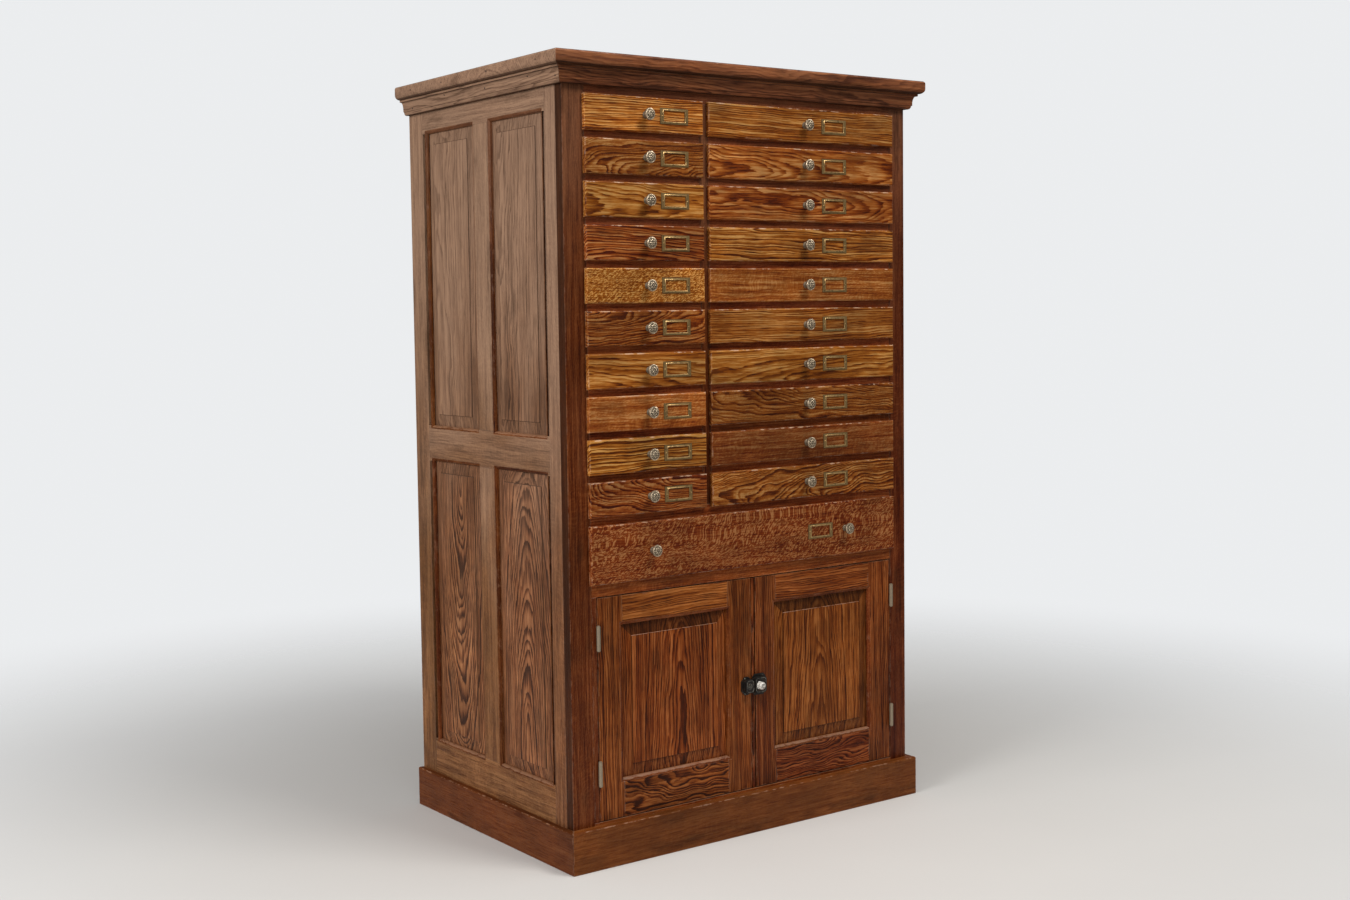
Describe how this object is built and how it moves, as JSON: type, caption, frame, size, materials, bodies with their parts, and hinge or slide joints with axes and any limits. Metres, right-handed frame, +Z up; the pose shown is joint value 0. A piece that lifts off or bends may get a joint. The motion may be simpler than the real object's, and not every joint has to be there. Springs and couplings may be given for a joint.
{
  "type": "apothecary cabinet",
  "caption": "Tall panelled oak cabinet with two columns of shallow drawers, one wide drawer and a two-door cupboard, moulded cornice and plain plinth.",
  "frame": {"origin": "on the floor, at the middle of the cornice's outline seen from above", "axes": "+Z up, +X to the right of a person facing the cabinet, +Y towards its back, so that drawers and doors open towards -Y"},
  "size_m": [1.022, 0.668, 1.6705],
  "materials": {
    "case_oak": "dark stained oak, worn satin varnish",
    "drawer_oak": "golden brown stained oak, satin varnish",
    "pine": "bare aged pine",
    "aged_brass": "antique patina, worn bright on the high spots",
    "hinge_steel": "dull plated steel",
    "black_iron": "black japanned cast iron",
    "porcelain": "white glaze"
  },
  "bodies": {
    "carcass": {"cornice": "case_oak", "side_frames": "case_oak", "side_panels": "case_oak", "front_frame": "case_oak", "back_boards": "pine", "inner_boards": "pine", "plinth": "case_oak", "hinge_frame_leaves": "hinge_steel"},
    "left_door": {"left_door_frame": "case_oak", "left_door_panel": "case_oak", "left_door_hinges": "hinge_steel", "latch_keeper": "black_iron"},
    "right_door": {"right_door_frame": "case_oak", "right_door_panel": "case_oak", "right_door_hinges": "hinge_steel", "latch_case": "black_iron"},
    "bolt": {"latch_bolt": "black_iron"},
    "knob": {"latch_knob": "porcelain"},
    "drawer_wide": {"wide_drawer": "drawer_oak", "wide_drawer_pulls": "aged_brass"},
    "drawer_left_1": {"left_drawer_1": "drawer_oak", "left_pull_1": "aged_brass"},
    "drawer_left_2": {"left_drawer_2": "drawer_oak", "left_pull_2": "aged_brass"},
    "drawer_left_3": {"left_drawer_3": "drawer_oak", "left_pull_3": "aged_brass"},
    "drawer_left_4": {"left_drawer_4": "drawer_oak", "left_pull_4": "aged_brass"},
    "drawer_left_5": {"left_drawer_5": "drawer_oak", "left_pull_5": "aged_brass"},
    "drawer_left_6": {"left_drawer_6": "drawer_oak", "left_pull_6": "aged_brass"},
    "drawer_left_7": {"left_drawer_7": "drawer_oak", "left_pull_7": "aged_brass"},
    "drawer_left_8": {"left_drawer_8": "drawer_oak", "left_pull_8": "aged_brass"},
    "drawer_left_9": {"left_drawer_9": "drawer_oak", "left_pull_9": "aged_brass"},
    "drawer_left_10": {"left_drawer_10": "drawer_oak", "left_pull_10": "aged_brass"},
    "drawer_right_1": {"right_drawer_1": "drawer_oak", "right_pull_1": "aged_brass"},
    "drawer_right_2": {"right_drawer_2": "drawer_oak", "right_pull_2": "aged_brass"},
    "drawer_right_3": {"right_drawer_3": "drawer_oak", "right_pull_3": "aged_brass"},
    "drawer_right_4": {"right_drawer_4": "drawer_oak", "right_pull_4": "aged_brass"},
    "drawer_right_5": {"right_drawer_5": "drawer_oak", "right_pull_5": "aged_brass"},
    "drawer_right_6": {"right_drawer_6": "drawer_oak", "right_pull_6": "aged_brass"},
    "drawer_right_7": {"right_drawer_7": "drawer_oak", "right_pull_7": "aged_brass"},
    "drawer_right_8": {"right_drawer_8": "drawer_oak", "right_pull_8": "aged_brass"},
    "drawer_right_9": {"right_drawer_9": "drawer_oak", "right_pull_9": "aged_brass"},
    "drawer_right_10": {"right_drawer_10": "drawer_oak", "right_pull_10": "aged_brass"}
  },
  "joints": [
    {"name": "left_door_swing", "type": "hinge", "parent": "carcass", "child": "left_door", "pos_m": [-0.4082, -0.3025, 0.193], "axis": [0, 0, -1], "range_deg": [0, 165]},
    {"name": "right_door_swing", "type": "hinge", "parent": "carcass", "child": "right_door", "pos_m": [0.4262, -0.3025, 0.193], "axis": [0, 0, 1], "range_deg": [0, 165]},
    {"name": "latch_knob_turn", "type": "hinge", "parent": "right_door", "child": "knob", "pos_m": [0.0158, -0.31, 0.325], "axis": [0, -1, 0], "range_deg": [0, 80.2]},
    {"name": "latch_bolt_slide", "type": "slide", "parent": "right_door", "child": "bolt", "axis": [-1, 0, 0], "range_m": [0, 0.00771]},
    {"name": "wide_drawer_slide", "type": "slide", "parent": "carcass", "child": "drawer_wide", "axis": [0, -1, 0], "range_m": [0, 0.43]},
    {"name": "left_drawer_1_slide", "type": "slide", "parent": "carcass", "child": "drawer_left_1", "axis": [0, -1, 0], "range_m": [0, 0.43]},
    {"name": "left_drawer_2_slide", "type": "slide", "parent": "carcass", "child": "drawer_left_2", "axis": [0, -1, 0], "range_m": [0, 0.43]},
    {"name": "left_drawer_3_slide", "type": "slide", "parent": "carcass", "child": "drawer_left_3", "axis": [0, -1, 0], "range_m": [0, 0.43]},
    {"name": "left_drawer_4_slide", "type": "slide", "parent": "carcass", "child": "drawer_left_4", "axis": [0, -1, 0], "range_m": [0, 0.43]},
    {"name": "left_drawer_5_slide", "type": "slide", "parent": "carcass", "child": "drawer_left_5", "axis": [0, -1, 0], "range_m": [0, 0.43]},
    {"name": "left_drawer_6_slide", "type": "slide", "parent": "carcass", "child": "drawer_left_6", "axis": [0, -1, 0], "range_m": [0, 0.43]},
    {"name": "left_drawer_7_slide", "type": "slide", "parent": "carcass", "child": "drawer_left_7", "axis": [0, -1, 0], "range_m": [0, 0.43]},
    {"name": "left_drawer_8_slide", "type": "slide", "parent": "carcass", "child": "drawer_left_8", "axis": [0, -1, 0], "range_m": [0, 0.43]},
    {"name": "left_drawer_9_slide", "type": "slide", "parent": "carcass", "child": "drawer_left_9", "axis": [0, -1, 0], "range_m": [0, 0.43]},
    {"name": "left_drawer_10_slide", "type": "slide", "parent": "carcass", "child": "drawer_left_10", "axis": [0, -1, 0], "range_m": [0, 0.43]},
    {"name": "right_drawer_1_slide", "type": "slide", "parent": "carcass", "child": "drawer_right_1", "axis": [0, -1, 0], "range_m": [0, 0.43]},
    {"name": "right_drawer_2_slide", "type": "slide", "parent": "carcass", "child": "drawer_right_2", "axis": [0, -1, 0], "range_m": [0, 0.43]},
    {"name": "right_drawer_3_slide", "type": "slide", "parent": "carcass", "child": "drawer_right_3", "axis": [0, -1, 0], "range_m": [0, 0.43]},
    {"name": "right_drawer_4_slide", "type": "slide", "parent": "carcass", "child": "drawer_right_4", "axis": [0, -1, 0], "range_m": [0, 0.43]},
    {"name": "right_drawer_5_slide", "type": "slide", "parent": "carcass", "child": "drawer_right_5", "axis": [0, -1, 0], "range_m": [0, 0.43]},
    {"name": "right_drawer_6_slide", "type": "slide", "parent": "carcass", "child": "drawer_right_6", "axis": [0, -1, 0], "range_m": [0, 0.43]},
    {"name": "right_drawer_7_slide", "type": "slide", "parent": "carcass", "child": "drawer_right_7", "axis": [0, -1, 0], "range_m": [0, 0.43]},
    {"name": "right_drawer_8_slide", "type": "slide", "parent": "carcass", "child": "drawer_right_8", "axis": [0, -1, 0], "range_m": [0, 0.43]},
    {"name": "right_drawer_9_slide", "type": "slide", "parent": "carcass", "child": "drawer_right_9", "axis": [0, -1, 0], "range_m": [0, 0.43]},
    {"name": "right_drawer_10_slide", "type": "slide", "parent": "carcass", "child": "drawer_right_10", "axis": [0, -1, 0], "range_m": [0, 0.43]}
  ],
  "couplings": [
    {"joint": "latch_knob_turn", "follows": "latch_bolt_slide", "rad_per_m": 181.02}
  ]
}
